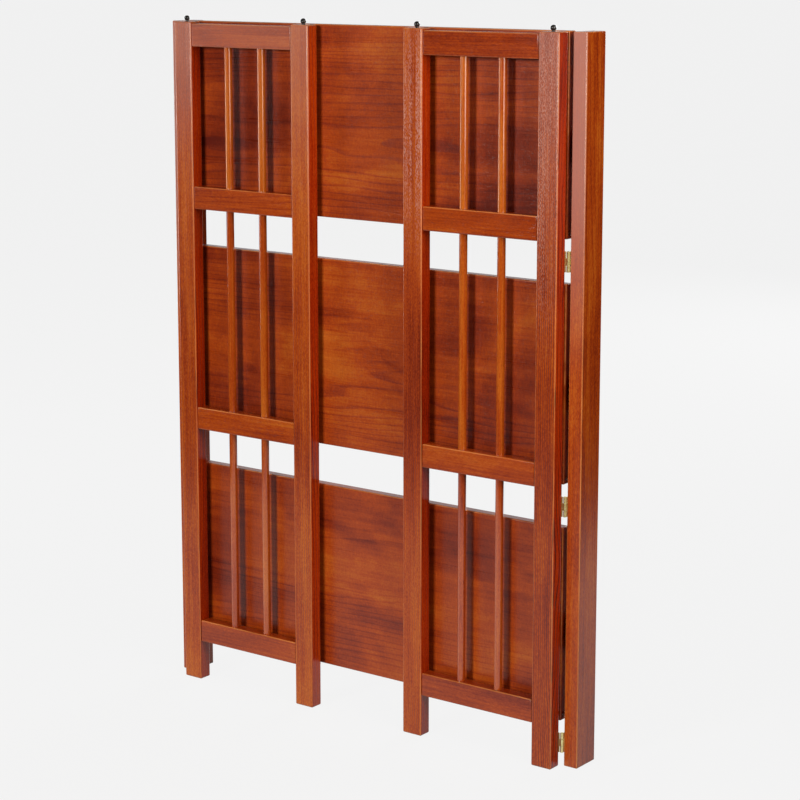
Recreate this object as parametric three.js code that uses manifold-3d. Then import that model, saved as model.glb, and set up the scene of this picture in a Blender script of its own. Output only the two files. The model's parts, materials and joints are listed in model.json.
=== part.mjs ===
// A folding bookcase in its folded state: two slatted side panels hinged like doors in front of a rear
// frame, and three shelves turned up between the rear posts. Millimetres, +Z up. The origin is on the
// floor at the middle of the folded outline, and the panels face -Y.

import * as THREE from 'three';
import { mergeVertices } from 'three/addons/utils/BufferGeometryUtils.js';
import Module from 'manifold-3d';

const wasm = await Module();
wasm.setup();

// Overall
const overallWidth = 698;

// Side panels
const panelWidth = 243;
const panelThickness = 20.5;
const panelPostWidth = 31;
const railHeight = 32.2;
const railThickness = 18;
const topRailDrop = 2.4;
const lowestRailZ = 58.4;
const tenonLength = 10;
const tenonThickness = 8;
const tenonShoulder = 4;
const slatDiameter = 11;
const slatsPerBay = 2;
const slatSeatDepth = 8;

// Rear frame
const rearPostDepth = 44;
const backRailHeight = 44;
const backRailThickness = 14;
const backRailLift = 96;

// Shelves
const shelfLength = 263.5;
const shelfThickness = 15.5;
const shelfLift = 1.8;
const turnedUpShelfGap = 57.5;
const topShelfProud = 0.7;
const shelfRecess = 2;
const shelfEndClearance = 7;
const shelfBackClearance = 0.6;
const pivotDiameter = 6;
const pivotInShelf = 16;
const pivotInPost = 9;
const pegDiameter = 8;
const pegReach = 14;
const pegSeatDepth = 10;
const pegBelowShelf = 0.5;

// Hinges
const hingeLength = 27;
const middleKnuckleLength = 10;
const knuckleDiameter = 4.6;
const hingePinDiameter = 2;
const leafThickness = 1.1;
const leafWidth = 14;
const hingeSeat = 2.2;
const panelEdgeToAxis = 3;
const axisToRearPost = 1.6;
const hingeDrop = 26;

// Stacking pins and the sockets that they enter
const pinHeadDiameter = 8.5;
const pinRise = 8.5;
const pinShankDiameter = 6;
const pinShankLength = 14;
const socketDiameter = 9.6;
const socketDepth = 12;

// Fits
const jointGap = 0.2;
const runningGap = 0.15;
const knuckleGap = 0.3;
const cutOverrun = 1;

// Facets round a circle
const roundSides = 24;
const smallRoundSides = 16;
const domeSteps = 5;

// Heights. A turned-up shelf stands clear under the next one, and the top one ends at the post tops.
const levels = ['bottom', 'middle', 'top'];
const railPitch = shelfLength + turnedUpShelfGap;
const levelRailZ = levels.map((level, index) => lowestRailZ + index * railPitch);
const shelfZ = levelRailZ.map((z) => z + shelfLift);
const postHeight = shelfZ[levels.length - 1] + shelfLength - topShelfProud;
const crownRailZ = postHeight - topRailDrop - railHeight;
const railNames = ['foot_rail', 'lower_rail', 'upper_rail', 'crown_rail'];
const railZ = [...levelRailZ, crownRailZ];
const bayNames = ['lower', 'middle', 'upper'];
const hingeZ = levelRailZ.map((z) => z - hingeDrop);
const pivotZ = shelfZ.map((z) => z + shelfThickness / 2);
const backRailZ = shelfZ.map((z) => z + backRailLift);

// Places that follow from the sizes, as seen on the right-hand side
const hingeX = overallWidth / 2 - panelThickness - hingeSeat;
const panelOuterX = hingeX - panelEdgeToAxis;
const rearPostWidth = panelThickness;
const rearPostInnerX = overallWidth / 2 - rearPostWidth;
const panelToRearPost = hingeSeat + axisToRearPost;
const overallDepth = panelThickness + panelToRearPost + rearPostDepth;
const panelFrontY = -overallDepth / 2;
const panelMiddleY = panelFrontY + panelThickness / 2;
const panelBackY = panelFrontY + panelThickness;
const hingeY = panelBackY + hingeSeat;
const rearPostFrontY = hingeY + axisToRearPost;
const rearPostMiddleY = rearPostFrontY + rearPostDepth / 2;
const shelfMiddleY = rearPostFrontY + shelfRecess + shelfThickness / 2;
const shelfEndX = rearPostInnerX - shelfEndClearance;
const backRailMiddleY = shelfMiddleY + shelfThickness / 2 + shelfBackClearance + backRailThickness / 2;

const sides = { left: -1, right: 1 };

// Solids

function toSolid(geometry) {
  const bare = geometry.clone();
  bare.deleteAttribute('normal');
  bare.deleteAttribute('uv');
  const merged = mergeVertices(bare);
  const vertProperties = new Float32Array(merged.attributes.position.array);
  const triVerts = new Uint32Array(merged.index.array);
  return new wasm.Manifold(new wasm.Mesh({ numProp: 3, vertProperties, triVerts }));
}

function toGeometry(solid) {
  const mesh = solid.getMesh();
  const geometry = new THREE.BufferGeometry();
  geometry.setAttribute('position', new THREE.BufferAttribute(mesh.vertProperties, 3));
  geometry.setIndex(new THREE.BufferAttribute(mesh.triVerts, 1));
  const flat = geometry.toNonIndexed();
  flat.computeVertexNormals();
  return flat;
}

function block(size, middle) {
  const geometry = new THREE.BoxGeometry(size.x, size.y, size.z);
  geometry.translate(middle.x, middle.y, middle.z);
  return toSolid(geometry);
}

function rod(axis, diameter, length, middle, facets = roundSides) {
  const geometry = new THREE.CylinderGeometry(diameter / 2, diameter / 2, length, facets);
  if (axis === 'x') geometry.rotateZ(Math.PI / 2);
  if (axis === 'z') geometry.rotateX(Math.PI / 2);
  geometry.translate(middle.x, middle.y, middle.z);
  return toSolid(geometry);
}

function at(x, y, z) {
  return new THREE.Vector3(x, y, z);
}

// Materials

function wood() {
  return new THREE.MeshStandardMaterial({ color: 0x9a4522, roughness: 0.38, metalness: 0 });
}

function brass() {
  return new THREE.MeshStandardMaterial({ color: 0xc9b26b, roughness: 0.3, metalness: 1 });
}

function blackMetal() {
  return new THREE.MeshStandardMaterial({ color: 0x161412, roughness: 0.25, metalness: 0.6 });
}

function addPiece(group, name, solid, material) {
  const mesh = new THREE.Mesh(toGeometry(solid), material);
  mesh.name = name;
  group.add(mesh);
}

// A rail is a board with a tenon at each end, along X

function railSolid(innerX, outerX, thickness, height, middleY, lowZ) {
  const middleX = (innerX + outerX) / 2;
  const span = Math.abs(outerX - innerX) - 2 * jointGap;
  const middle = at(middleX, middleY, lowZ + height / 2);
  const board = block(at(span, thickness, height), middle);
  const tenonHeight = height - 2 * tenonShoulder;
  return board.add(block(at(span + 2 * tenonLength, tenonThickness, tenonHeight), middle));
}

// The mortise that takes a rail's tenon, cut into a post's face at faceX, going in the direction inward

function mortise(faceX, inward, middleY, lowZ, height) {
  const depth = tenonLength + jointGap;
  const middle = at(faceX + (inward * (depth - cutOverrun)) / 2, middleY, lowZ + height / 2);
  const tall = height - 2 * tenonShoulder + 2 * jointGap;
  return block(at(depth + cutOverrun, tenonThickness + 2 * jointGap, tall), middle);
}

// A hole from a face along an axis, with the face's place and the direction into the material

function hole(axis, diameter, depth, face, inward) {
  const middle = face.clone();
  middle[axis] += (inward * (depth - cutOverrun)) / 2;
  return rod(axis, diameter, depth + cutOverrun, middle);
}

// Side panels

function panelPlaces(side) {
  const outer = side * panelOuterX;
  const free = side * (panelOuterX - panelWidth);
  const outerPost = outer - (side * panelPostWidth) / 2;
  const freePost = free + (side * panelPostWidth) / 2;
  return {
    outerPost,
    freePost,
    outerFace: outer - side * panelPostWidth,
    freeFace: free + side * panelPostWidth,
  };
}

function panelPostSolid(middleX, innerFace, inward, pegged) {
  let post = block(at(panelPostWidth, panelThickness, postHeight), at(middleX, panelMiddleY, postHeight / 2));
  for (const z of railZ) {
    post = post.subtract(mortise(innerFace, inward, panelMiddleY, z, railHeight));
  }
  const top = at(middleX, panelMiddleY, postHeight);
  post = post.subtract(hole('z', pinShankDiameter + 2 * jointGap, pinShankLength + jointGap, top, -1));
  post = post.subtract(hole('z', socketDiameter, socketDepth, at(middleX, panelMiddleY, 0), 1));
  if (pegged) {
    for (const z of shelfZ) {
      const seat = at(middleX, panelBackY, pegMiddleZ(z));
      post = post.subtract(hole('y', pegDiameter + 2 * jointGap, pegSeatDepth + jointGap, seat, -1));
    }
  }
  return post;
}

function pegMiddleZ(shelfLowZ) {
  return shelfLowZ - pegBelowShelf - pegDiameter / 2;
}

function pegSolid(middleX, shelfLowZ) {
  const length = pegReach + pegSeatDepth;
  const middleY = panelBackY + (pegReach - pegSeatDepth) / 2;
  return rod('y', pegDiameter, length, at(middleX, middleY, pegMiddleZ(shelfLowZ)));
}

function slatPlaces(places) {
  const inner = places.outerFace - places.freeFace;
  const step = inner / (slatsPerBay + 1);
  return Array.from({ length: slatsPerBay }, (unused, index) => places.freeFace + step * (index + 1));
}

function panelRailSolid(places, index) {
  const lowZ = railZ[index];
  let rail = railSolid(places.freeFace, places.outerFace, railThickness, railHeight, panelMiddleY, lowZ);
  for (const x of slatPlaces(places)) {
    const wide = slatDiameter + 2 * jointGap;
    const deep = slatSeatDepth + jointGap;
    if (index < railZ.length - 1) {
      rail = rail.subtract(hole('z', wide, deep, at(x, panelMiddleY, lowZ + railHeight), -1));
    }
    if (index > 0) {
      rail = rail.subtract(hole('z', wide, deep, at(x, panelMiddleY, lowZ), 1));
    }
  }
  return rail;
}

function slatSolid(x, bay) {
  const low = railZ[bay] + railHeight - slatSeatDepth;
  const high = railZ[bay + 1] + slatSeatDepth;
  return rod('z', slatDiameter, high - low, at(x, panelMiddleY, (low + high) / 2));
}

function stackingPinSolid(middleX) {
  const shank = pinShankDiameter / 2;
  const head = pinHeadDiameter / 2;
  const neckZ = jointGap;
  const shoulderZ = pinRise - head;
  const points = [new THREE.Vector2(0, -pinShankLength), new THREE.Vector2(shank, -pinShankLength)];
  points.push(new THREE.Vector2(shank, neckZ), new THREE.Vector2(head, neckZ));
  for (let step = 0; step <= domeSteps; step += 1) {
    const turn = (step / domeSteps) * (Math.PI / 2);
    const radius = step === domeSteps ? 0 : head * Math.cos(turn);
    points.push(new THREE.Vector2(radius, shoulderZ + head * Math.sin(turn)));
  }
  const geometry = new THREE.LatheGeometry(points, roundSides);
  geometry.rotateX(Math.PI / 2);
  geometry.translate(middleX, panelMiddleY, postHeight);
  return toSolid(geometry);
}

// Hinges. Both leaves are laid out from the axis: across is the way that the leaf reaches from it, and
// seat the way to the wood that the leaf lies on.

function leafPlate(axisPoint, across, seat, zs, from) {
  const inner = hingeSeat - jointGap - leafThickness;
  const alongMiddle = across.clone().multiplyScalar((from + leafWidth) / 2);
  const seatMiddle = seat.clone().multiplyScalar(inner + leafThickness / 2);
  const middle = axisPoint.clone().add(alongMiddle).add(seatMiddle);
  middle.z += (zs.low + zs.high) / 2;
  const reach = leafWidth - from;
  const size = at(
    Math.abs(across.x) * reach + Math.abs(seat.x) * leafThickness,
    Math.abs(across.y) * reach + Math.abs(seat.y) * leafThickness,
    zs.high - zs.low,
  );
  return block(size, middle);
}

function knuckle(axisPoint, zs, diameter) {
  const middle = axisPoint.clone();
  middle.z += (zs.low + zs.high) / 2;
  return rod('z', diameter, zs.high - zs.low, middle, smallRoundSides);
}

const hingeSpan = { low: -hingeLength / 2, high: hingeLength / 2 };
const middleSpan = { low: -middleKnuckleLength / 2, high: middleKnuckleLength / 2 };
const endSpans = [
  { low: hingeSpan.low, high: middleSpan.low - knuckleGap },
  { low: middleSpan.high + knuckleGap, high: hingeSpan.high },
];
const plateStart = knuckleDiameter / 2 + knuckleGap;

function panelLeafSolid(side, z) {
  const axisPoint = at(side * hingeX, hingeY, z);
  const across = at(-side, 0, 0);
  const seat = at(0, -1, 0);
  let leaf = leafPlate(axisPoint, across, seat, hingeSpan, plateStart);
  leaf = leaf.add(leafPlate(axisPoint, across, seat, middleSpan, 0));
  leaf = leaf.add(knuckle(axisPoint, middleSpan, knuckleDiameter));
  return leaf.subtract(knuckle(axisPoint, hingeSpan, hingePinDiameter + 2 * runningGap));
}

function postLeafSolid(side, z) {
  const axisPoint = at(side * hingeX, hingeY, z);
  const across = at(0, 1, 0);
  const seat = at(side, 0, 0);
  let leaf = leafPlate(axisPoint, across, seat, hingeSpan, plateStart);
  for (const span of endSpans) {
    leaf = leaf.add(leafPlate(axisPoint, across, seat, span, 0));
    leaf = leaf.add(knuckle(axisPoint, span, knuckleDiameter));
  }
  return leaf.add(knuckle(axisPoint, hingeSpan, hingePinDiameter));
}

function sidePanel(name, side) {
  const group = new THREE.Group();
  const places = panelPlaces(side);
  const outerPost = panelPostSolid(places.outerPost, places.outerFace, side, false);
  const freePost = panelPostSolid(places.freePost, places.freeFace, -side, true);
  addPiece(group, `${name}_panel_hinge_post`, outerPost, wood());
  addPiece(group, `${name}_panel_free_post`, freePost, wood());
  railNames.forEach((rail, index) => {
    addPiece(group, `${name}_panel_${rail}`, panelRailSolid(places, index), wood());
  });
  bayNames.forEach((bay, index) => {
    slatPlaces(places).forEach((x, slat) => {
      addPiece(group, `${name}_panel_${bay}_slat_${slat + 1}`, slatSolid(x, index), wood());
    });
  });
  addPiece(group, `${name}_hinge_post_stacking_pin`, stackingPinSolid(places.outerPost), blackMetal());
  addPiece(group, `${name}_free_post_stacking_pin`, stackingPinSolid(places.freePost), blackMetal());
  levels.forEach((level, index) => {
    addPiece(group, `${name}_${level}_hinge_panel_leaf`, panelLeafSolid(side, hingeZ[index]), brass());
    addPiece(group, `${name}_${level}_shelf_peg`, pegSolid(places.freePost, shelfZ[index]), wood());
  });
  return group;
}

// Rear frame

function rearPostSolid(side) {
  const middleX = side * (overallWidth / 2 - rearPostWidth / 2);
  const face = side * rearPostInnerX;
  const middle = at(middleX, rearPostMiddleY, postHeight / 2);
  let post = block(at(rearPostWidth, rearPostDepth, postHeight), middle);
  levels.forEach((level, index) => {
    const pivot = at(face, shelfMiddleY, pivotZ[index]);
    post = post.subtract(hole('x', pivotDiameter + 2 * runningGap, pivotInPost + jointGap, pivot, side));
    post = post.subtract(mortise(face, side, backRailMiddleY, backRailZ[index], backRailHeight));
  });
  return post;
}

function rearFrame() {
  const group = new THREE.Group();
  for (const [name, side] of Object.entries(sides)) {
    addPiece(group, `${name}_rear_post`, rearPostSolid(side), wood());
    levels.forEach((level, index) => {
      addPiece(group, `${name}_${level}_hinge_post_leaf`, postLeafSolid(side, hingeZ[index]), brass());
    });
  }
  levels.forEach((level, index) => {
    const rail = railSolid(
      -rearPostInnerX,
      rearPostInnerX,
      backRailThickness,
      backRailHeight,
      backRailMiddleY,
      backRailZ[index],
    );
    addPiece(group, `${level}_back_rail`, rail, wood());
  });
  return group;
}

// Shelves, turned up, each on two pivots near its lower edge

function shelfSolid(index) {
  const middle = at(0, shelfMiddleY, shelfZ[index] + shelfLength / 2);
  let board = block(at(2 * shelfEndX, shelfThickness, shelfLength), middle);
  for (const side of Object.values(sides)) {
    const end = at(side * shelfEndX, shelfMiddleY, pivotZ[index]);
    board = board.subtract(hole('x', pivotDiameter + 2 * jointGap, pivotInShelf + jointGap, end, -side));
  }
  return board;
}

function pivotSolid(side, index) {
  const inner = shelfEndX - pivotInShelf;
  const outer = rearPostInnerX + pivotInPost;
  const middle = at((side * (inner + outer)) / 2, shelfMiddleY, pivotZ[index]);
  return rod('x', pivotDiameter, outer - inner, middle);
}

function shelf(level, index) {
  const group = new THREE.Group();
  addPiece(group, `${level}_shelf`, shelfSolid(index), wood());
  for (const [name, side] of Object.entries(sides)) {
    addPiece(group, `${level}_shelf_${name}_pivot`, pivotSolid(side, index), brass());
  }
  return group;
}

const bookcase = new THREE.Group();
bookcase.name = 'folding_bookcase';
bookcase.add(rearFrame());
for (const [name, side] of Object.entries(sides)) {
  bookcase.add(sidePanel(name, side));
}
levels.forEach((level, index) => bookcase.add(shelf(level, index)));

export default bookcase;
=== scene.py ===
"""A folding bookcase, folded flat: two slatted side panels closed in front of three turned-up shelves.

Every piece takes its place and size from the frame. Metres throughout.
"""

import json
import math
import random

import bmesh
import bpy
from mathutils import Matrix, Vector


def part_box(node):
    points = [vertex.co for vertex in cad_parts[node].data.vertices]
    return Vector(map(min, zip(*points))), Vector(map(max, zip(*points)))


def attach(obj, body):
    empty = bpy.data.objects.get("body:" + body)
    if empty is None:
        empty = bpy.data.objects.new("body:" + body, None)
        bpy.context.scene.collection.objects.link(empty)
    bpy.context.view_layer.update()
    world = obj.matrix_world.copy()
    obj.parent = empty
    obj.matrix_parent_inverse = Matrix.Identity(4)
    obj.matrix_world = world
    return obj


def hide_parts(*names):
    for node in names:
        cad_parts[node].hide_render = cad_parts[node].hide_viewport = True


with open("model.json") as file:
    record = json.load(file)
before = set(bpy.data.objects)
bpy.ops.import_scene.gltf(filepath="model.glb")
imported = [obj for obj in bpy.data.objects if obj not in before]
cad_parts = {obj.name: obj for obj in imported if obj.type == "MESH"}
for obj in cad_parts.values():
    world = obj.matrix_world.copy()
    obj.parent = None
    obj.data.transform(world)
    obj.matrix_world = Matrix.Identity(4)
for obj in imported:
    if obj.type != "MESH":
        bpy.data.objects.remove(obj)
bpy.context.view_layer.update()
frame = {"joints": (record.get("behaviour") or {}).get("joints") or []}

MM = 0.001
SIDES = {"left": -1, "right": 1}
LEVELS = ("bottom", "middle", "top")
RAILS = ("foot_rail", "lower_rail", "upper_rail", "crown_rail")

# Woodwork
TENON = 10 * MM
JOINT_GAP = 0.2 * MM
POST_ROUND = 2.2 * MM
REAR_POST_ROUND = 1.3 * MM
RAIL_ROUND = 1.7 * MM
SHELF_ROUND = 1.8 * MM
ROUND_STEPS = 5
ROD_END_STEPS = 3
SLAT_SEAT = 8 * MM
SLAT_SHOWN_SEAT = 1 * MM
ROUND_SIDES = 48
SOCKET_DIAMETER = 9.6 * MM
SOCKET_DEPTH = 12 * MM
SOCKET_LIP = 0.5 * MM
PEG_ROUND = 1.2 * MM
PIVOT_ROUND = 0.25 * MM

# Hinges
LEAF_THICKNESS = 1.1 * MM
LEAF_WIDTH = 14 * MM
LEAF_EDGE = 0.2 * MM
KNUCKLE_DIAMETER = 4.6 * MM
KNUCKLE_EDGE = 0.25 * MM
KNUCKLE_GAP = 0.3 * MM
FLAP_INSET = 0.04 * MM
FLAP_OVERLAP = 1 * MM
MIDDLE_KNUCKLE = 10 * MM
PIN_DIAMETER = 2 * MM
PIN_BORE = 2.3 * MM
PIN_PRESS = 0.02 * MM
PIN_SINK = 0.15 * MM
HINGE_SEAT = 2.2 * MM
SCREW_HEAD_DIAMETER = 4.4 * MM
SCREW_HEAD_RISE = 0.45 * MM
SCREW_SLOT_WIDTH = 0.8 * MM
SCREW_SLOT_DEPTH = 0.8 * MM
SCREW_FLOOR_SPAN = 0.96
SCREW_SIDES = 32
SCREW_FROM_END = 6 * MM
SCREW_FROM_AXIS = 9 * MM

# Stacking pins
PIN_RISE = 8.5 * MM
PIN_BALL_DIAMETER = 7.8 * MM
PIN_NECK_DIAMETER = 4.6 * MM
PIN_COLLAR_DIAMETER = 7.0 * MM
PIN_COLLAR_RISE = 0.6 * MM
PIN_BALL_STEPS = 20


# Shader maths

class Link:
    """One output of a material's node, on which arithmetic adds the Math nodes that it needs."""

    def __init__(self, paint, socket):
        self.paint = paint
        self.socket = socket

    def maths(self, operation, first, second=None):
        sockets = {0: first} if second is None else {0: first, 1: second}
        return self.paint.node("ShaderNodeMath", {"operation": operation}, sockets)

    def __add__(self, other):
        return self.maths("ADD", self, other)

    def __radd__(self, other):
        return self.maths("ADD", other, self)

    def __sub__(self, other):
        return self.maths("SUBTRACT", self, other)

    def __rsub__(self, other):
        return self.maths("SUBTRACT", other, self)

    def __mul__(self, other):
        return self.maths("MULTIPLY", self, other)

    def __rmul__(self, other):
        return self.maths("MULTIPLY", other, self)

    def __truediv__(self, other):
        return self.maths("DIVIDE", self, other)

    def __abs__(self):
        return self.maths("ABSOLUTE", self)

    def root(self):
        return self.maths("SQRT", self)

    def fraction(self):
        return self.maths("FRACT", self)

    def most(self, other):
        return self.maths("MAXIMUM", self, other)

    def between(self, low, high, to_low=0.0, to_high=1.0):
        """Goes smoothly from to_low to to_high as this goes from low to high."""
        settings = {"interpolation_type": "SMOOTHSTEP", "clamp": True}
        sockets = {"Value": self, "From Min": low, "From Max": high, "To Min": to_low, "To Max": to_high}
        return self.paint.node("ShaderNodeMapRange", settings, sockets)


class Paint:
    """One material's node graph."""

    def __init__(self, name):
        self.material = bpy.data.materials.new(name)
        self.material.use_nodes = True
        self.tree = self.material.node_tree
        self.tree.nodes.clear()

    def node(self, kind, settings=None, sockets=None, output=0):
        made = self.tree.nodes.new(kind)
        for name, value in (settings or {}).items():
            if name == "stops":
                self.set_stops(made.color_ramp, value)
            else:
                setattr(made, name, value)
        for name, value in (sockets or {}).items():
            if isinstance(value, Link):
                self.tree.links.new(value.socket, made.inputs[name])
            else:
                made.inputs[name].default_value = value
        return Link(self, made.outputs[output])

    def set_stops(self, ramp, stops):
        while len(ramp.elements) < len(stops):
            ramp.elements.new(0.5)
        for element, (place, colour) in zip(ramp.elements, stops):
            element.position = place
            element.color = (*colour, 1)

    def mix(self, factor, first, second, blend="MIX"):
        """Mixes two colours. The node's sockets go by number, because its values' and vectors' sockets
        have the same names as its colours'."""
        settings = {"data_type": "RGBA", "blend_type": blend}
        sockets = {0: factor, 6: colour_value(first), 7: colour_value(second)}
        return self.node("ShaderNodeMix", settings, sockets, output=2)

    def noise(self, vector, scale, detail=2.0, roughness=0.5, distortion=0.0):
        sockets = {
            "Vector": vector,
            "Scale": scale,
            "Detail": detail,
            "Roughness": roughness,
            "Distortion": distortion,
        }
        return self.node("ShaderNodeTexNoise", None, sockets)

    def object_place(self):
        return self.node("ShaderNodeTexCoord", output="Object")

    def stretched(self, place, scale, shift=(0, 0, 0)):
        sockets = {"Vector": place, "Location": shift, "Scale": scale}
        return self.node("ShaderNodeMapping", None, sockets)

    def bump(self, height, strength, distance):
        sockets = {"Height": height, "Strength": strength, "Distance": distance}
        return self.node("ShaderNodeBump", None, sockets)

    def parts(self, vector):
        split = self.tree.nodes.new("ShaderNodeSeparateXYZ")
        self.tree.links.new(vector.socket, split.inputs[0])
        return [Link(self, out) for out in split.outputs]

    def finish(self, shader):
        out = self.tree.nodes.new("ShaderNodeOutputMaterial")
        self.tree.links.new(shader.socket, out.inputs["Surface"])
        return self.material

    def surface(self, sockets):
        return self.finish(self.node("ShaderNodeBsdfPrincipled", None, sockets))


def colour_value(value):
    if isinstance(value, Link):
        return value
    return (*value, 1)


# Wood. Each piece has its own material, cut from its own place in the log.

STAIN_DEEP = (0.12, 0.008, 0.0012)
STAIN_RED = (0.255, 0.027, 0.0036)
STAIN_MIDDLE = (0.425, 0.059, 0.0040)
STAIN_ORANGE = (0.60, 0.150, 0.0130)
STAIN_STOPS = ((0.05, STAIN_DEEP), (0.32, STAIN_RED), (0.57, STAIN_MIDDLE), (0.92, STAIN_ORANGE))
PLAIN_STAIN = 0.55
PORE_BROWN = (0.060, 0.005, 0.002)
PORE_DARKNESS = 0.32
# Pale pore dashes: filler in open pores, partly a painted sheen where light catches them
PALE_PORE_AND_SHEEN = (0.60, 0.29, 0.21)
# A pale sheen painted on front faces, standing in for the lights' reflection in the lacquer
PAINTED_SHEEN_COLOUR = (0.50, 0.235, 0.185)
# Painted bounce light: the side faces made redder, as if lit by light bounced between the wooden pieces
PAINTED_BOUNCE_RED = (1.0, 0.50, 0.35)
# Lighter edges: wear, and a painted highlight along the rounded edges
WORN_AND_HIGHLIT_EDGE = (0.80, 0.30, 0.085)
EDGE_WEAR_AND_HIGHLIGHT_WIDTH = 1.7 * MM

GRAIN_UP = "up"
GRAIN_ACROSS = "across"

# How far from the log's middle a piece may be cut, and how far its grain may lean
LOG_REACH = 8
GRAIN_LEAN = 0.04

# How far the rings sway along a piece, and how unevenly they lie
RING_SWAY = 0.07
RING_DRIFT = 1.8

# Where between one ring and the next the late wood darkens, and where it ends
LATE_WOOD_START = (0.60, 0.88)
LATE_WOOD_END = (0.92, 1.0)

# Each figure of the wood: its scale along the grain, as a share of that across it, and its noise
FIGURES = {
    "sway": (0.16, {"scale": 4.0}),
    "drift": (0.16, {"scale": 19.0, "roughness": 0.55}),
    "clear rings": (0.16, {"scale": 11.0}),
    "fibre": (0.022, {"scale": 1000.0, "detail": 3.0, "roughness": 0.65}),
    "streak": (0.022, {"scale": 300.0, "detail": 5.0, "roughness": 0.68}),
    "fleck": (0.45, {"scale": 620.0, "detail": 3.0, "roughness": 0.7}),
    "band": (0.05, {"scale": 60.0, "detail": 4.0, "roughness": 0.6}),
    "pores": (0.10, {"scale": 1500.0}),
    "blotch": (0.5, {"scale": 10.0, "detail": 4.0, "roughness": 0.6, "distortion": 0.5}),
    "edge wear and highlight": (0.16, {"scale": 60.0, "detail": 3.0, "roughness": 0.6}),
    "pore columns": (0.012, {"scale": 170.0}),
    "pore dashes": (0.24, {"scale": 1250.0, "roughness": 0.6}),
    "pore patches": (0.16, {"scale": 40.0}),
}

# Where in its noise a figure that comes and goes begins to show, and where it shows in full
SHOWS = {
    "clear rings": (0.36, 0.62),
    "pores": (0.60, 0.70),
    "edge wear and highlight": (0.3, 0.65),
    "pore columns": (0.34, 0.52),
    "pore dashes": (0.48, 0.60),
    "pore patches": (0.25, 0.6),
}

# Ripples run up the boards that lie across
RIPPLES = {"scale": 420.0, "detail": 3.0, "roughness": 0.6}
RIPPLE_STRETCH = (1, 1, 0.35)

# How strongly the figures mark the wood's colour, its roughness and its relief
FIBRE_DEPTH = 0.20
LATE_WOOD_DULLNESS = 0.04
FIBRE_DULLNESS = 0.06
BAND_DULLNESS = 0.08
FIBRE_RELIEF = 0.4
FLECK_RELIEF = 0.5
PORE_RELIEF = 0.9
LATE_WOOD_RELIEF = 0.20
RELIEF_STRENGTH = 0.35
RELIEF_HEIGHT = 0.12 * MM
LACQUER_IOR = 1.43
COAT_ROUGHNESS = 0.09


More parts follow.
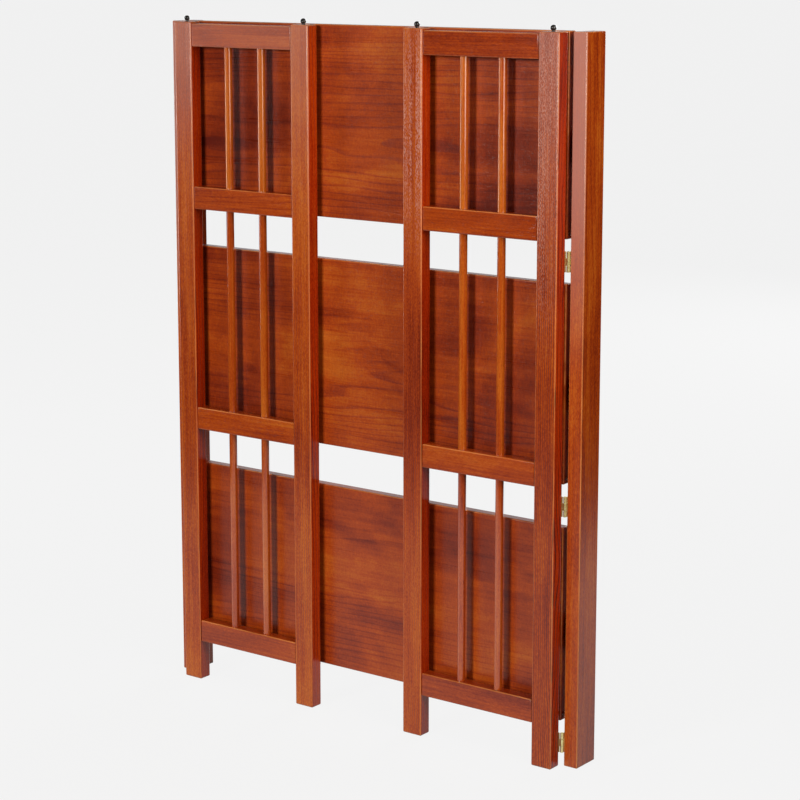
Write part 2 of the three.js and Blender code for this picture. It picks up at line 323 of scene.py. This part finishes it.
def wood(
    name,
    grain,
    centre,
    tone=0.0,
    ring=3.2 * MM,
    pith=(0.09, 0.16),
    ring_depth=0.14,
    ring_wave=0.014,
    blotch_depth=0.7,
    band_depth=0.70,
    streak_depth=0.60,
    fleck_depth=0.60,
    ripple_depth=0.0,
    gloss=0.26,
    coat=0.0,
    front=0.0,
    pale_pores_and_sheen=None,
    haze=None,
    darker_stretch=None,
    flank=None,
    corner=None,
):
    """Stained, lacquered wood. Grain runs up the piece or across it, pith is how far the log's heart lies
    from the piece's centre, and ring_wave is how far the rings wave. Ripples are fine marks across the
    grain of a piece that lies across, and coat is a glossier coat. Pale dashes show on the front, more of
    them from one height to another: pale filler in open pores, partly a painted sheen. A painted sheen, a
    pale reflection painted on the front, goes from one height to another. Darker stretches lie at a
    distance from the middle of the length: painted shade on the shelves behind the panels, and a darker
    stretch on the free posts. The side faces, half the piece's width from its middle, are painted redder
    as painted bounce light, and corner, the piece's upper corner, lets its edges show lighter: wear, and a
    painted highlight along them, fainter on the lower edges of a piece that lies across."""
    paint = Paint(name)
    chance = random.Random(name)
    place = paint.object_place()
    x, y, z = paint.parts(place)
    upright = grain == GRAIN_UP
    along, side, depth = (z, x, y) if upright else (x, z, y)
    middle = (centre.z, centre.x, centre.y) if upright else (centre.x, centre.z, centre.y)
    run = along - middle[0]
    shift = [chance.uniform(-LOG_REACH, LOG_REACH) for unused in range(3)]

    def figure(kind):
        stretch, settings = FIGURES[kind]
        scale = (1, 1, stretch) if upright else (stretch, 1, 1)
        return paint.noise(paint.stretched(place, scale, shift), **settings)

    def shown(kind, least=0.0, most=1.0):
        return figure(kind).between(*SHOWS[kind], to_low=least, to_high=most)

    sway = figure("sway") - 0.5
    drift = figure("drift") - 0.5
    slope = chance.uniform(-GRAIN_LEAN, GRAIN_LEAN)
    across = side - middle[1] + pith[0] * chance.choice((-1, 1)) + sway * RING_SWAY + run * slope
    through = depth - middle[2] + pith[1] + drift * ring_wave
    reach = (across * across + through * through).root()
    rings = (reach / ring + drift * RING_DRIFT).fraction()
    late = rings.between(*LATE_WOOD_START)
    late = late * rings.between(*LATE_WOOD_END, to_low=1.0, to_high=0.0)
    late = late * shown("clear rings", least=0.2)

    fibre = figure("fibre")
    fleck = figure("fleck")
    band = figure("band")
    pores = shown("pores")
    level = (
        (figure("blotch") - 0.5) * blotch_depth
        + (band - 0.5) * band_depth
        + (figure("streak") - 0.5) * streak_depth
        + (fibre - 0.5) * FIBRE_DEPTH
        + (fleck - 0.5) * fleck_depth
        - late * ring_depth
        + (tone + PLAIN_STAIN)
    )
    if ripple_depth:
        ripples = paint.noise(paint.stretched(place, RIPPLE_STRETCH, shift), **RIPPLES)
        level = level + (ripples - 0.5) * ripple_depth
    # Darker stretches: painted shade on the shelves behind the panels, and a darker stretch on the free
    # posts
    if darker_stretch:
        stretch_place, stretch_reach, stretch_depth = darker_stretch
        from_stretch = abs(abs(run) - stretch_place)
        level = level - from_stretch.between(0.0, stretch_reach, to_low=stretch_depth, to_high=0.0)
    stain = paint.node("ShaderNodeValToRGB", {"stops": STAIN_STOPS}, {"Fac": level})
    stain = paint.mix(pores * PORE_DARKNESS, stain, PORE_BROWN)
    roughness = gloss + late * LATE_WOOD_DULLNESS + (fibre - 0.5) * FIBRE_DULLNESS
    roughness = roughness + (band - 0.5) * BAND_DULLNESS
    relief = fibre * FIBRE_RELIEF + fleck * FLECK_RELIEF - pores * PORE_RELIEF - late * LATE_WOOD_RELIEF

    # Painted bounce light: the side faces multiplied redder
    if flank:
        bounce_lit_side = abs(x - centre.x).between(flank - POST_ROUND / 2, flank)
        stain = paint.mix(bounce_lit_side, stain, paint.mix(1.0, stain, PAINTED_BOUNCE_RED, "MULTIPLY"))
    # Lighter edges: wear with a painted highlight, fainter along the lower edges of a piece that lies
    # across
    if corner:
        near = []
        for place_on, middle_on, end in zip((x, y, z), centre, corner):
            half = end - middle_on
            near.append(abs(place_on - middle_on).between(half - EDGE_WEAR_AND_HIGHLIGHT_WIDTH, half - EDGE_WEAR_AND_HIGHLIGHT_WIDTH / 3))
        edges = (near[0] * near[1]).most(near[1] * near[2]).most(near[0] * near[2])
        worn_and_highlit = shown("edge wear and highlight", least=0.25, most=0.75)
        if not upright:
            worn_and_highlit = worn_and_highlit * (z - centre.z).between(-EDGE_WEAR_AND_HIGHLIGHT_WIDTH, EDGE_WEAR_AND_HIGHLIGHT_WIDTH, to_low=0.25)
        stain = paint.mix(edges * worn_and_highlit, stain, WORN_AND_HIGHLIT_EDGE)
    facing = y.between(front, front + POST_ROUND, to_low=1.0, to_high=0.0)
    # Pale pore dashes on the front: pore filler, partly painted sheen
    if pale_pores_and_sheen:
        low_z, high_z, strength = pale_pores_and_sheen
        dashes = shown("pore dashes") * shown("pore columns")
        patch = z.between(low_z, high_z) * shown("pore patches", least=0.3) * facing
        stain = paint.mix(dashes * patch * strength, stain, PALE_PORE_AND_SHEEN)
        relief = relief + dashes * patch
    # Painted sheen: a pale reflection painted on the front between two heights
    if haze:
        low_z, high_z, strength = haze
        stain = paint.mix(z.between(low_z, high_z) * facing * strength, stain, PAINTED_SHEEN_COLOUR)
    return paint.surface(
        {
            "Base Color": stain,
            "Roughness": roughness,
            "Normal": paint.bump(relief, RELIEF_STRENGTH, RELIEF_HEIGHT),
            "IOR": LACQUER_IOR,
            "Coat Weight": coat,
            "Coat Roughness": COAT_ROUGHNESS,
        }
    )


# Metals

HINGE_BRASS = {"bright": (0.84, 0.78, 0.38), "dull": (0.70, 0.60, 0.24), "metallic": 0.55}
SCREW_BRASS = {"bright": (0.62, 0.50, 0.22), "dull": (0.40, 0.29, 0.11), "metallic": 0.85}
BRASS_DULLED = (0.35, 0.7)
BRASS_ROUGHNESS = 0.20
WORN_BRASS_ROUGHNESS = 0.12
BRUSHED_STRETCH = (1, 1, 12)
ENAMEL_BLACK = (0.012, 0.011, 0.011)
ENAMEL_GREY = (0.022, 0.020, 0.019)
STEEL_DARK = (0.42, 0.41, 0.40)
STEEL_LIGHT = (0.58, 0.57, 0.55)
STEEL_ROUGHNESS = 0.25
DRAWN_STEEL_ROUGHNESS = 0.15
DRAWN_STRETCH = (0.1, 1, 1)


def brass(name, bright, dull, metallic):
    """Brass, brushed crosswise and dulled in places by wear."""
    paint = Paint(name)
    place = paint.object_place()
    wear = paint.noise(place, scale=240.0, detail=4.0, roughness=0.6)
    brushed = paint.noise(paint.stretched(place, BRUSHED_STRETCH), scale=420.0)
    return paint.surface(
        {
            "Base Color": paint.mix(wear.between(*BRASS_DULLED), bright, dull),
            "Metallic": metallic,
            "Roughness": BRASS_ROUGHNESS + wear * WORN_BRASS_ROUGHNESS,
            "Normal": paint.bump(brushed, strength=0.15, distance=0.05 * MM),
        }
    )


def black_enamel():
    """Glossy black with a trace of orange peel."""
    paint = Paint("stacking pin black")
    orange_peel = paint.noise(paint.object_place(), scale=900.0)
    return paint.surface(
        {
            "Base Color": paint.mix(orange_peel, ENAMEL_BLACK, ENAMEL_GREY),
            "Roughness": 0.16,
            "Normal": paint.bump(orange_peel, strength=0.2, distance=0.02 * MM),
            "Coat Weight": 0.6,
            "Coat Roughness": 0.06,
        }
    )


def steel():
    """Bright steel, drawn along the pivots."""
    paint = Paint("pivot steel")
    drawn = paint.noise(paint.stretched(paint.object_place(), DRAWN_STRETCH), scale=900.0)
    return paint.surface(
        {
            "Base Color": paint.mix(drawn, STEEL_DARK, STEEL_LIGHT),
            "Metallic": 1.0,
            "Roughness": STEEL_ROUGHNESS + drawn * DRAWN_STEEL_ROUGHNESS,
        }
    )


# Shapes

MERGE_WITHIN = 0.001 * MM
SHADED_SHARP_FROM = math.radians(32)
SQUARE_ON = 0.99999


def piece_from(bm, name, body, material, nodes=(), smooth=False):
    """Makes the finished object, puts it on its body and lets it stand for its CAD nodes. A squared piece
    keeps its flat faces flat up to their rounded edges, and a smooth one doesn't."""
    bmesh.ops.remove_doubles(bm, verts=bm.verts, dist=MERGE_WITHIN)
    bmesh.ops.recalc_face_normals(bm, faces=bm.faces)
    for face in bm.faces:
        face.smooth = True
    for edge in bm.edges:
        flats = [face for face in edge.link_faces if max(map(abs, face.normal)) > SQUARE_ON]
        bound = not smooth and len(flats) == 1
        edge.smooth = edge.calc_face_angle(0.0) < SHADED_SHARP_FROM and not bound
    mesh = bpy.data.meshes.new(name)
    bm.to_mesh(mesh)
    bm.free()
    mesh.materials.append(material)
    piece = bpy.data.objects.new(name, mesh)
    bpy.context.scene.collection.objects.link(piece)
    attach(piece, body)
    if nodes:
        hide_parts(*nodes)


def add_block(bm, low, high, rounding=0.0):
    """A block with all its edges rounded."""
    made = bmesh.ops.create_cube(bm, size=1)["verts"]
    bmesh.ops.scale(bm, vec=high - low, verts=made)
    bmesh.ops.translate(bm, vec=(low + high) / 2, verts=made)
    if rounding:
        edges = list({edge for vert in made for edge in vert.link_edges})
        bmesh.ops.bevel(
            bm,
            geom=edges,
            offset=rounding,
            segments=ROUND_STEPS,
            profile=0.5,
            affect="EDGES",
            material=-1,
        )


def turn_to(axis):
    turns = {
        "x": Matrix.Rotation(math.radians(90), 4, "Y"),
        "y": Matrix.Rotation(math.radians(-90), 4, "X"),
        "z": Matrix.Identity(4),
    }
    return turns[axis]


def add_rod(bm, axis, diameter, length, middle, rounding=0.0):
    """A round bar along an axis, its end edges rounded."""
    made = bmesh.ops.create_cone(
        bm,
        cap_ends=True,
        cap_tris=False,
        segments=ROUND_SIDES,
        radius1=diameter / 2,
        radius2=diameter / 2,
        depth=length,
        matrix=Matrix.Translation(middle) @ turn_to(axis),
    )["verts"]
    if rounding:
        caps = [face for vert in made for face in vert.link_faces if len(face.verts) > 4]
        rims = list({edge for face in caps for edge in face.edges})
        bmesh.ops.bevel(
            bm,
            geom=rims,
            offset=rounding,
            segments=ROD_END_STEPS,
            profile=0.5,
            affect="EDGES",
            material=-1,
        )


def sink_socket(bm, middle, diameter, depth, lip):
    """Opens a round blind hole upwards in the flat face that lies at the middle point's height."""
    down = min(bm.faces, key=lambda face: (face.calc_center_median() - middle).length)
    outline = list(down.edges)
    bmesh.ops.delete(bm, geom=[down], context="FACES_ONLY")
    place = Matrix.Translation(middle)
    ring = bmesh.ops.create_circle(
        bm, cap_ends=False, segments=ROUND_SIDES, radius=diameter / 2 + lip, matrix=place
    )["verts"]
    rim = list({edge for vert in ring for edge in vert.link_edges})
    bmesh.ops.triangle_fill(bm, use_beauty=True, use_dissolve=True, edges=outline + rim)
    for rise, radius in ((lip, diameter / 2), (depth, diameter / 2)):
        grown = bmesh.ops.extrude_edge_only(bm, edges=rim)["geom"]
        verts = [item for item in grown if isinstance(item, bmesh.types.BMVert)]
        rim = [item for item in grown if isinstance(item, bmesh.types.BMEdge)]
        rim = [edge for edge in rim if all(vert in verts for vert in edge.verts)]
        for vert in verts:
            outward = Vector((vert.co.x - middle.x, vert.co.y - middle.y, 0)).normalized()
            vert.co = middle + outward * radius + Vector((0, 0, rise))
    bmesh.ops.contextual_create(bm, geom=rim)


# Woodwork pieces

def centre_of(node):
    low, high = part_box(node)
    return (low + high) / 2


def make_post(name, body, socket, rounding=POST_ROUND, ring_depth=0.42, **finish):
    """A post with its edges eased. A panel's post has a socket in its foot for the pin of one below."""
    low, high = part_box(name)
    bm = bmesh.new()
    add_block(bm, low, high, rounding)
    if socket:
        middle = Vector(((low.x + high.x) / 2, (low.y + high.y) / 2, low.z))
        sink_socket(bm, middle, SOCKET_DIAMETER, SOCKET_DEPTH, SOCKET_LIP)
    material = wood(
        name,
        GRAIN_UP,
        centre_of(name),
        ring=3.0 * MM,
        ring_depth=ring_depth,
        pith=(0.10, 0.05),
        fleck_depth=0.95,
        front=low.y,
        corner=high,
        **finish,
    )
    piece_from(bm, name + "_shown", body, material, [name])


def make_rail(name, body, tone=0.0, haze=None):
    """A rail from post to post, without the tenons that its posts hide."""
    low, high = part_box(name)
    bm = bmesh.new()
    end = Vector((TENON, 0, 0))
    add_block(bm, low + end, high - end, RAIL_ROUND)
    material = wood(
        name,
        GRAIN_ACROSS,
        centre_of(name),
        tone=tone,
        ring=2.8 * MM,
        pith=(0.05, 0.11),
        gloss=0.20,
        front=low.y,
        haze=haze,
        corner=high,
    )
    piece_from(bm, name + "_shown", body, material, [name])


def make_slat(name, body, tone):
    """A round slat, which ends just inside the rails."""
    low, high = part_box(name)
    bm = bmesh.new()
    hidden = SLAT_SEAT - SLAT_SHOWN_SEAT
    add_rod(bm, "z", high.x - low.x, high.z - low.z - 2 * hidden, centre_of(name))
    material = wood(
        name,
        GRAIN_UP,
        centre_of(name),
        tone=tone,
        ring=2.2 * MM,
        pith=(0.03, 0.05),
        gloss=0.18,
        coat=0.8,
    )
    piece_from(bm, name + "_shown", body, material, [name], smooth=True)


def make_peg(name, body):
    low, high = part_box(name)
    bm = bmesh.new()
    add_rod(bm, "y", high.x - low.x, high.y - low.y, centre_of(name), PEG_ROUND)
    material = wood(name, GRAIN_UP, centre_of(name), ring=1.8 * MM, pith=(0.02, 0.03))
    piece_from(bm, name + "_shown", body, material, [name], smooth=True)


# Painted shade on the shelves, where they lie behind the two panels: how far from the middle, how wide and
# how dark
SHELF_PAINTED_SHADE = {"top": (0.23, 0.14, 0.26), "middle": (0.26, 0.14, 0.13), "bottom": (0.28, 0.12, 0.12)}


def make_shelf(level):
    name = f"{level}_shelf"
    low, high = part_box(name)
    bm = bmesh.new()
    add_block(bm, low, high, SHELF_ROUND)
    material = wood(
        name,
        GRAIN_ACROSS,
        centre_of(name),
        tone=-0.02,
        ring=5.5 * MM,
        pith=(0.03, 0.09),
        ring_depth=0.18,
        blotch_depth=1.30,
        band_depth=0.50,
        streak_depth=0.32,
        ripple_depth=0.30,
        gloss=0.29,
        fleck_depth=0.40,
        corner=high,
        darker_stretch=SHELF_PAINTED_SHADE[level],
    )
    piece_from(bm, name + "_shown", name, material, [name])


def make_pivot(name, body, material):
    low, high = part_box(name)
    bm = bmesh.new()
    add_rod(bm, "x", high.z - low.z, high.x - low.x, centre_of(name), PIVOT_ROUND)
    piece_from(bm, name + "_shown", body, material, [name], smooth=True)


def make_stacking_pin(name, body, material):
    """A ball on a short neck and a thin collar, spun round the pin's axis, with its shank in the post."""
    low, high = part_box(name)
    centre = centre_of(name)
    seat = high.z - PIN_RISE
    neck, collar, ball = PIN_NECK_DIAMETER / 2, PIN_COLLAR_DIAMETER / 2, PIN_BALL_DIAMETER / 2
    outline = [(0, low.z), (neck, low.z), (neck, seat - JOINT_GAP), (collar, seat - JOINT_GAP)]
    outline += [(collar, seat + PIN_COLLAR_RISE / 2), (neck, seat + PIN_COLLAR_RISE)]
    first_turn = -math.acos(neck / ball)
    for step in range(PIN_BALL_STEPS + 1):
        turn = first_turn + (math.radians(90) - first_turn) * step / PIN_BALL_STEPS
        outline.append((ball * math.cos(turn), high.z - ball + ball * math.sin(turn)))
    outline[-1] = (0, high.z)
    bm = bmesh.new()
    verts = [bm.verts.new((centre.x + out, centre.y, up)) for out, up in outline]
    edges = [bm.edges.new(pair) for pair in zip(verts, verts[1:])]
    bmesh.ops.spin(
        bm,
        geom=verts + edges,
        cent=centre,
        axis=(0, 0, 1),
        angle=math.radians(360),
        steps=ROUND_SIDES,
        use_merge=True,
    )
    piece_from(bm, name + "_shown", body, material, [name], smooth=True)


# Hinges

def add_leaf_plate(bm, axis_point, across, seat, low_z, high_z, start, end, inset=0.0):
    """A flat of the leaf against the wood, from one distance to the axis to another, a little smaller
    all round by its inset."""
    near = axis_point + across * start + seat * (HINGE_SEAT - JOINT_GAP - LEAF_THICKNESS + inset)
    far = axis_point + across * end + seat * (HINGE_SEAT - JOINT_GAP - inset)
    near.z, far.z = axis_point.z + low_z + inset, axis_point.z + high_z - inset
    low = Vector(map(min, near, far))
    high = Vector(map(max, near, far))
    add_block(bm, low, high, LEAF_EDGE)


def add_knuckle(bm, axis_point, bottom, top, bore):
    """A tube round the hinge's axis, bored for the pin, its outer edges eased."""
    radius = KNUCKLE_DIAMETER / 2
    outline = [
        (bore, bottom),
        (radius - KNUCKLE_EDGE, bottom),
        (radius, bottom + KNUCKLE_EDGE),
        (radius, top - KNUCKLE_EDGE),
        (radius - KNUCKLE_EDGE, top),
        (bore, top),
    ]
    verts = [bm.verts.new(axis_point + Vector((out, 0, up))) for out, up in outline]
    edges = [bm.edges.new(pair) for pair in zip(verts, verts[1:] + verts[:1])]
    bmesh.ops.spin(
        bm,
        geom=verts + edges,
        cent=axis_point,
        axis=(0, 0, 1),
        angle=math.radians(360),
        steps=ROUND_SIDES,
        use_merge=True,
    )


def make_leaf(node, body, axis_point, across, seat, materials, carries_pin):
    """One leaf, with either the middle knuckle, which turns on the pin, or the two end knuckles, which
    hold it."""
    low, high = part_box(node)
    half = (high.z - low.z) / 2
    middle_half = MIDDLE_KNUCKLE / 2
    clear = KNUCKLE_DIAMETER / 2 + KNUCKLE_GAP
    if carries_pin:
        spans = [(-half, -middle_half - KNUCKLE_GAP), (middle_half + KNUCKLE_GAP, half)]
        bore = PIN_DIAMETER / 2 - PIN_PRESS
    else:
        spans = [(-middle_half, middle_half)]
        bore = PIN_BORE / 2
    bm = bmesh.new()
    add_leaf_plate(bm, axis_point, across, seat, -half, half, clear, LEAF_WIDTH)
    for bottom, top in spans:
        add_leaf_plate(
            bm, axis_point, across, seat, bottom, top, PIN_BORE / 2, clear + FLAP_OVERLAP, FLAP_INSET
        )
        add_knuckle(bm, axis_point, bottom, top, bore)
    if carries_pin:
        add_rod(bm, "z", PIN_DIAMETER, 2 * (half - PIN_SINK), axis_point, KNUCKLE_EDGE)
    material, screw_material = materials
    piece_from(bm, node + "_shown", body, material, [node], smooth=True)
    for place, end in (("low", -1), ("high", 1)):
        height = end * (half - SCREW_FROM_END)
        make_screw(f"{node}_screw_{place}", body, axis_point, across, seat, height, screw_material)


def make_screw(name, body, axis_point, across, seat, height, material):
    """A slotted countersunk screw head, a little proud of the leaf."""
    face = HINGE_SEAT - JOINT_GAP - LEAF_THICKNESS
    rise = Vector((0, 0, height))
    outer = axis_point + across * SCREW_FROM_AXIS + seat * (face - SCREW_HEAD_RISE) + rise
    axis = "x" if abs(seat.x) > 0.5 else "y"
    bm = bmesh.new()
    thickness = SCREW_HEAD_RISE + LEAF_THICKNESS / 2
    for slot_side in (-1, 1):
        made = bmesh.ops.create_cone(
            bm,
            cap_ends=True,
            segments=SCREW_SIDES,
            radius1=SCREW_HEAD_DIAMETER / 2,
            radius2=SCREW_HEAD_DIAMETER / 2,
            depth=thickness,
        )["verts"]
        geometry = made + list({edge for vert in made for edge in vert.link_edges})
        geometry += list({face for vert in made for face in vert.link_faces})
        cut = bmesh.ops.bisect_plane(
            bm,
            geom=geometry,
            plane_co=(slot_side * SCREW_SLOT_WIDTH / 2, 0, 0),
            plane_no=(-slot_side, 0, 0),
            clear_outer=True,
        )["geom_cut"]
        rim = [item for item in cut if isinstance(item, bmesh.types.BMEdge)]
        bmesh.ops.contextual_create(bm, geom=rim)
    floor = bmesh.ops.create_cube(bm, size=1)["verts"]
    bmesh.ops.scale(
        bm,
        vec=(SCREW_SLOT_WIDTH, SCREW_HEAD_DIAMETER * SCREW_FLOOR_SPAN, thickness - SCREW_SLOT_DEPTH),
        verts=floor,
    )
    bmesh.ops.translate(bm, vec=(0, 0, -SCREW_SLOT_DEPTH / 2), verts=floor)
    slot_turn = Matrix.Rotation(math.radians(random.Random(name).uniform(0, 180)), 4, "Z")
    out = turn_to(axis)
    if (out @ Vector((0, 0, 1))).dot(seat) > 0:
        out = out @ Matrix.Rotation(math.radians(180), 4, "X")
    middle = outer + seat * (thickness / 2)
    bmesh.ops.transform(bm, matrix=Matrix.Translation(middle) @ out @ slot_turn, verts=bm.verts)
    piece_from(bm, name, body, material)


def make_hinges(side_name, side, material, screw_material):
    joint = next(joint for joint in frame["joints"] if joint["name"] == f"{side_name}_panel_hinge")
    for level in LEVELS:
        post_leaf = f"{side_name}_{level}_hinge_post_leaf"
        panel_leaf = f"{side_name}_{level}_hinge_panel_leaf"
        axis_point = Vector(joint["pos_m"])
        axis_point.z = centre_of(post_leaf).z
        to_back, outward = Vector((0, 1, 0)), Vector((side, 0, 0))
        materials = (material, screw_material)
        make_leaf(post_leaf, "rear_frame", axis_point, to_back, outward, materials, True)
        make_leaf(panel_leaf, f"{side_name}_panel", axis_point, -outward, -to_back, materials, False)


# Sub-parts

# How each panel post's finish differs: pale pore dashes, partly painted sheen, and a painted sheen go from
# one height to another, with a strength, and the free posts have a darker stretch
POST_FINISH = {
    "left_panel_hinge_post": {
        "tone": 0.10,
        "pale_pores_and_sheen": (0.78, 0.98, 0.6),
        "haze": (0.70, 0.98, 0.46),
    },
    "left_panel_free_post": {
        "tone": 0.22,
        "haze": (0.68, 1.02, 0.44),
        "darker_stretch": (0.03, 0.19, 0.20),
    },
    "right_panel_free_post": {
        "tone": 0.06,
        "pale_pores_and_sheen": (0.62, 0.80, 0.75),
        "darker_stretch": (0.03, 0.17, 0.14),
    },
    "right_panel_hinge_post": {
        "pale_pores_and_sheen": (0.52, 0.80, 0.85),
        "haze": (0.60, 1.0, 0.26),
        "ring_depth": 0.75,
        "ring_wave": 0.034,
    },
}
# Painted sheen on the left panel's rails
RAIL_PAINTED_SHEEN = {"left": (0.70, 1.0, 0.36), "right": None}
RAIL_TONE = {"left": -0.06, "right": -0.13}
# How much lighter each bay's slats are made: painted light, more of it on the upper slats
SLAT_PAINTED_LIGHT = {"lower": 0.04, "middle": 0.14, "upper": 0.28}


def make_side_panel(side_name, enamel):
    body = f"{side_name}_panel"
    for post in ("hinge_post", "free_post"):
        name = f"{side_name}_panel_{post}"
        low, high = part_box(name)
        make_post(name, body, socket=True, flank=(high.x - low.x) / 2, **POST_FINISH[name])
    for rail in RAILS:
        make_rail(f"{side_name}_panel_{rail}", body, RAIL_TONE[side_name], RAIL_PAINTED_SHEEN[side_name])
    for bay, tone in SLAT_PAINTED_LIGHT.items():
        for number in (1, 2):
            make_slat(f"{side_name}_panel_{bay}_slat_{number}", body, tone)
    for post in ("hinge_post", "free_post"):
        make_stacking_pin(f"{side_name}_{post}_stacking_pin", body, enamel)
    for level in LEVELS:
        make_peg(f"{side_name}_{level}_shelf_peg", body)


def make_rear_frame():
    for side_name in SIDES:
        make_post(
            f"{side_name}_rear_post",
            "rear_frame",
            socket=False,
            rounding=REAR_POST_ROUND,
            ring_depth=0.20,
            tone=0.02,
            # A painted sheen on the rear posts' fronts
            haze=(0.50, 0.80, 0.70),
        )
    for level in LEVELS:
        make_rail(f"{level}_back_rail", "rear_frame")


def make_shelves(material):
    for level in LEVELS:
        make_shelf(level)
        for side_name in SIDES:
            make_pivot(f"{level}_shelf_{side_name}_pivot", f"{level}_shelf", material)


# Studio. The camera's angles are in degrees, and its focal length and centre row in the image's pixels.

FLOOR_SIZE = 600
FLOOR_GLOW = 0.875
FLOOR_SHADE = 0.03
SHEEN_FLOOR_RADIUS = 1.45
SHEEN_FLOOR_GLOW = 0.88
SHEEN_FLOOR_RISE = 0.5 * MM
BACKDROP_PLACE = (-2.1, 2.8, 1.1)
BACKDROP_SIZE = 3.0
BACKGROUND = 0.885
AMBIENT = 0.012
CAMERA_PLACE = Vector((1.832, -2.380, 1.073))
CAMERA_YAW = 36.82
CAMERA_PITCH = 10.12
FOCAL_PIXELS = 2220
IMAGE_PIXELS = 800
CENTRE_ROW = 340
SENSOR = 36


def make_camera():
    data = bpy.data.cameras.new("camera")
    data.sensor_width = SENSOR
    data.lens = FOCAL_PIXELS / IMAGE_PIXELS * SENSOR
    data.shift_y = (CENTRE_ROW - IMAGE_PIXELS / 2) / IMAGE_PIXELS
    camera = bpy.data.objects.new("camera", data)
    camera.location = CAMERA_PLACE
    camera.rotation_euler = (math.radians(90 - CAMERA_PITCH), 0, math.radians(CAMERA_YAW))
    bpy.context.scene.collection.objects.link(camera)
    bpy.context.scene.camera = camera


def stage_piece(bm, name, material):
    mesh = bpy.data.meshes.new(name)
    bm.to_mesh(mesh)
    bm.free()
    mesh.materials.append(material)
    piece = bpy.data.objects.new(name, mesh)
    bpy.context.scene.collection.objects.link(piece)
    return piece


def only_in_the_lacquer(piece):
    """Lets the object reflect a stage piece that is otherwise unseen."""
    piece.visible_camera = False
    piece.visible_diffuse = False
    piece.visible_shadow = False


def make_floor():
    """The pale floor as the camera sees it, and the lit floor and backdrop that show in the lacquer."""
    paint = Paint("pale floor")
    glow = paint.node("ShaderNodeEmission", None, {"Color": (1, 1, 1, 1), "Strength": FLOOR_GLOW})
    matte = paint.node("ShaderNodeBsdfDiffuse", None, {"Color": (FLOOR_SHADE,) * 3 + (1,)})
    both = paint.node("ShaderNodeAddShader", None, {0: glow, 1: matte})
    bm = bmesh.new()
    bmesh.ops.create_grid(bm, x_segments=1, y_segments=1, size=FLOOR_SIZE / 2)
    floor = stage_piece(bm, "floor", paint.finish(both))
    floor.visible_glossy = False
    floor.visible_diffuse = False

    paint = Paint("lit white")
    glow = paint.node("ShaderNodeEmission", None, {"Color": (1, 1, 1, 1), "Strength": SHEEN_FLOOR_GLOW})
    lit_white = paint.finish(glow)
    bm = bmesh.new()
    place = Matrix.Translation((0, 0, -SHEEN_FLOOR_RISE))
    bmesh.ops.create_circle(
        bm, cap_ends=True, segments=ROUND_SIDES, radius=SHEEN_FLOOR_RADIUS, matrix=place
    )
    only_in_the_lacquer(stage_piece(bm, "lit_floor", lit_white))

    bm = bmesh.new()
    upright = Vector(BACKDROP_PLACE).to_track_quat("Z", "Y").to_matrix().to_4x4()
    place = Matrix.Translation(BACKDROP_PLACE) @ upright
    bmesh.ops.create_grid(bm, x_segments=1, y_segments=1, size=BACKDROP_SIZE / 2, matrix=place)
    only_in_the_lacquer(stage_piece(bm, "lit_backdrop", lit_white))


def add_lamp(name, place, target, size, power, colour=(1, 1, 1)):
    data = bpy.data.lights.new(name, "AREA")
    data.shape = "RECTANGLE"
    data.size, data.size_y = size
    data.energy = power
    data.color = colour
    lamp = bpy.data.objects.new(name, data)
    lamp.location = place
    lamp.rotation_mode = "QUATERNION"
    lamp.rotation_quaternion = (Vector(target) - Vector(place)).to_track_quat("-Z", "Y")
    lamp.visible_camera = False
    bpy.context.scene.collection.objects.link(lamp)
    return lamp


def make_world():
    """A white background to look at, which lights the object only dimly."""
    world = bpy.data.worlds.new("studio")
    world.use_nodes = True
    nodes, links = world.node_tree.nodes, world.node_tree.links
    nodes.clear()
    looks = []
    for strength in (AMBIENT, BACKGROUND):
        background = nodes.new("ShaderNodeBackground")
        background.inputs["Color"].default_value = (1, 1, 1, 1)
        background.inputs["Strength"].default_value = strength
        looks.append(background)
    path, mix, out = (nodes.new(f"ShaderNode{kind}") for kind in ("LightPath", "MixShader", "OutputWorld"))
    links.new(path.outputs["Is Camera Ray"], mix.inputs[0])
    links.new(looks[0].outputs[0], mix.inputs[1])
    links.new(looks[1].outputs[0], mix.inputs[2])
    links.new(mix.outputs[0], out.inputs["Surface"])
    bpy.context.scene.world = world


def make_lights():
    add_lamp(
        "key",
        place=(-0.55, -4.0, 1.5),
        target=(0, 0, 0.5),
        size=(0.8, 0.8),
        power=111,
        colour=(1.0, 0.98, 0.95),
    )
    add_lamp(
        "right side",
        place=(1.42, -0.46, 1.3),
        target=(0.1, -0.03, 0.95),
        size=(0.7, 1.3),
        power=18,
        colour=(1.0, 0.92, 0.84),
    )
    add_lamp("left front", place=(-2.85, -1.45, 0.8), target=(0, 0, 0.7), size=(0.7, 1.1), power=13)
    add_lamp("left side", place=(-2.6, 0.15, 0.6), target=(-0.3, 0, 0.55), size=(0.8, 1.0), power=17)
    add_lamp("back", place=(-0.5, 3.9, 1.6), target=(0, 0, 0.5), size=(1.4, 1.2), power=95)
    bounce = add_lamp("floor bounce", place=(0, 0, 0.001), target=(0, 0, 1), size=(2, 2), power=2)
    bounce.visible_glossy = False
    bpy.context.scene.view_settings.view_transform = "Standard"


def main():
    make_camera()
    make_floor()
    make_world()
    make_lights()
    hinge_brass = brass("hinge brass", **HINGE_BRASS)
    screw_brass = brass("screw brass", **SCREW_BRASS)
    enamel, pivot_steel = black_enamel(), steel()
    make_rear_frame()
    for side_name, side in SIDES.items():
        make_side_panel(side_name, enamel)
        make_hinges(side_name, side, hinge_brass, screw_brass)
    make_shelves(pivot_steel)


main()
